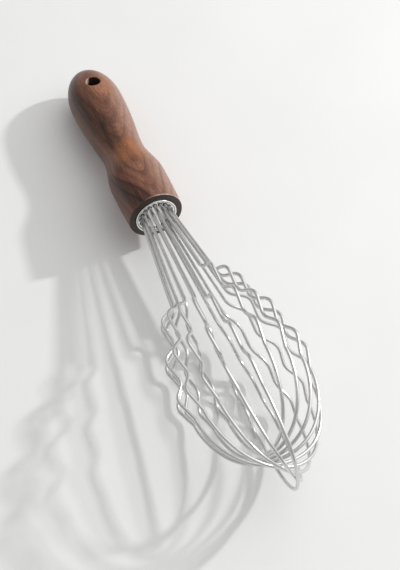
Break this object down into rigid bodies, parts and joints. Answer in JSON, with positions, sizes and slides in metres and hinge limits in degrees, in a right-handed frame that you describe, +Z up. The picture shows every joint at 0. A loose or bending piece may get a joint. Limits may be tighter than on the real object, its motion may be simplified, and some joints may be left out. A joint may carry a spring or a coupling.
{
  "type": "balloon whisk",
  "caption": "Balloon whisk with a turned walnut handle, a hanging hole through its butt, and a balloon of stepped stainless wire loops set in a steel ferrule.",
  "frame": {"origin": "middle of the bounding box's base, on the counter that the whisk lies on", "axes": "+X along the whisk from the handle's butt to the wire tip, +Z up from the counter, +Y to the left when looking along +X"},
  "size_m": [0.2968, 0.0698, 0.0703],
  "materials": {
    "walnut": "oiled, satin",
    "ferrule_steel": "satin",
    "plate_steel": "brushed",
    "wire_steel": "satin bright",
    "resin": "cast"
  },
  "bodies": {
    "root": {"handle": "walnut", "ferrule": "ferrule_steel", "wire_plate": "plate_steel", "resin_core": "resin", "wire_loop_1": "wire_steel", "wire_loop_2": "wire_steel", "wire_loop_3": "wire_steel", "wire_loop_4": "wire_steel", "wire_loop_5": "wire_steel", "wire_loop_6": "wire_steel", "wire_loop_7": "wire_steel", "wire_loop_8": "wire_steel", "wire_loop_9": "wire_steel"}
  },
  "joints": []
}
